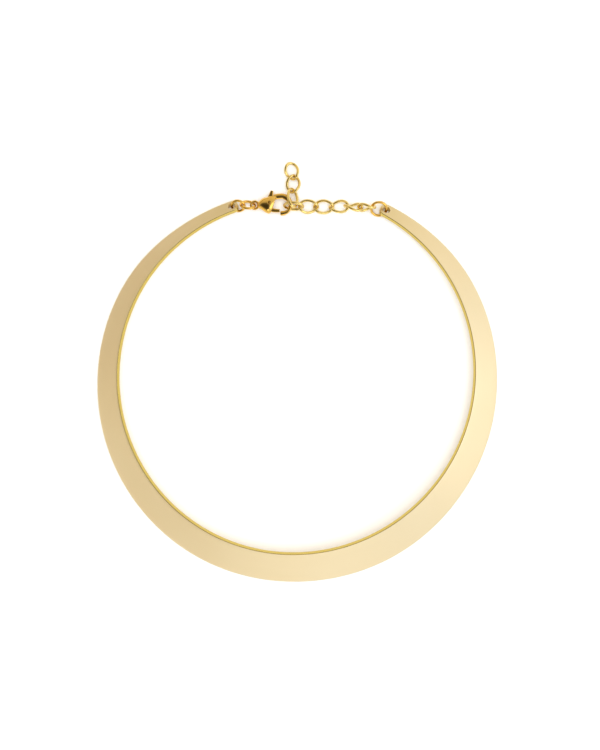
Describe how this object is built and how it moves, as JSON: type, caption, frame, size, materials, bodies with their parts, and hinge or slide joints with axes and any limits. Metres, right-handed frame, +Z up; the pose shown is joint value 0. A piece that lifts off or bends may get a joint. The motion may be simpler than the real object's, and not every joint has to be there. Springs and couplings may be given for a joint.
{
  "type": "collar necklace",
  "caption": "Wide sloped metal collar necklace, closed at the back with jump rings, a lobster clasp with a working lever and a short extender chain.",
  "frame": {"origin": "middle of the footprint of the necklace as it lies, on the table", "axes": "+Z up from the table, +Y from the front of the collar to the clasp at the back, +X to the wearer's left"},
  "size_m": [0.1354, 0.142, 0.0077],
  "materials": {
    "satin_gold": "satin gilded brass",
    "polished_gold": "polished gilded brass",
    "chain_gold": "polished gilded brass wire"
  },
  "bodies": {
    "necklace": {"collar": "satin_gold", "ring_left": "polished_gold", "ring_clasp": "polished_gold", "clasp_body": "polished_gold", "clasp_pin": "polished_gold", "ring_right": "polished_gold", "chain_link_1": "chain_gold", "chain_link_2": "chain_gold", "chain_link_3": "chain_gold", "chain_link_4": "chain_gold", "chain_link_5": "chain_gold", "hook_link": "chain_gold", "tail_link_1": "chain_gold", "tail_link_2": "chain_gold", "tail_link_3": "chain_gold"},
    "lever": {"clasp_lever": "polished_gold"}
  },
  "joints": [
    {"name": "lever_swing", "type": "hinge", "parent": "necklace", "child": "lever", "pos_m": [-0.00905, 0.05706, 0.0019], "axis": [0, 0, 1], "range_deg": [0, 25], "stiffness_Nm_per_rad": 0.008, "springref_deg": -20.05}
  ]
}
